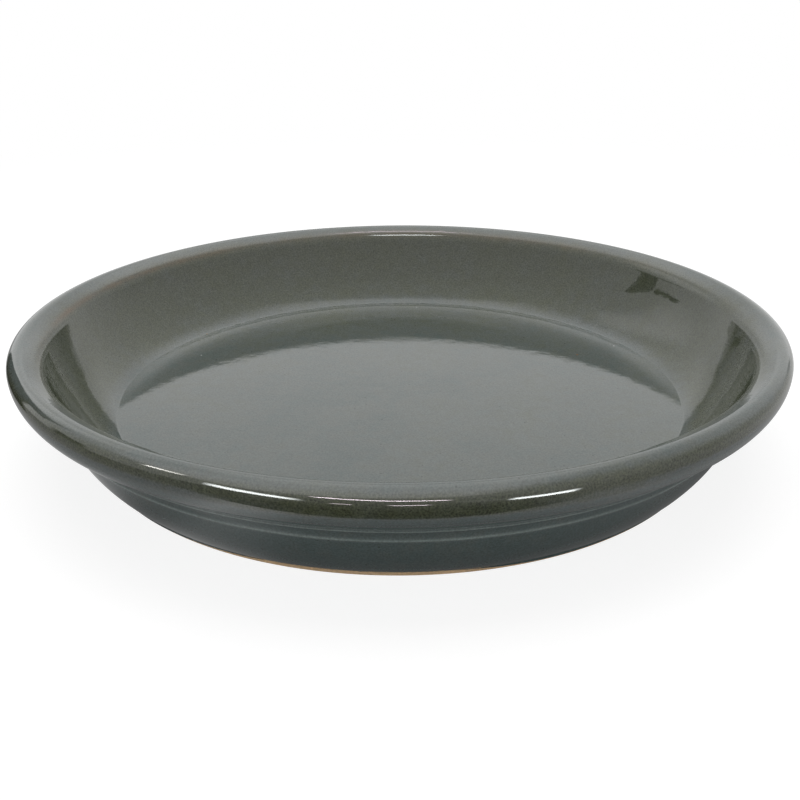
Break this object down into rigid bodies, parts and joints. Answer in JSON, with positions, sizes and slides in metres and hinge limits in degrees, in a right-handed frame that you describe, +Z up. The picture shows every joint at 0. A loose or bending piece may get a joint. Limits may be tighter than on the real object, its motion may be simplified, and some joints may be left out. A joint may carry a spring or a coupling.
{
  "type": "plant saucer",
  "caption": "Round glazed stoneware plant saucer: flat basin floor, flared wall, rolled rim with a turned groove below it, and a bare clay foot ring.",
  "frame": {"origin": "on the saucer's axis, on the surface that the foot ring stands on", "axes": "+Z up along the saucer's axis; the saucer is round, so +X is free, and -Y is the side towards the picture's camera"},
  "size_m": [0.254, 0.254, 0.0381],
  "materials": {
    "bare_clay": "fired tan stoneware clay, unglazed, matt and slightly gritty",
    "glaze": "glossy slate grey-green glaze, olive where it is thin and blue-grey where it is thick"
  },
  "bodies": {
    "root": {"clay_body": "bare_clay", "glaze_coat": "glaze"}
  },
  "joints": []
}
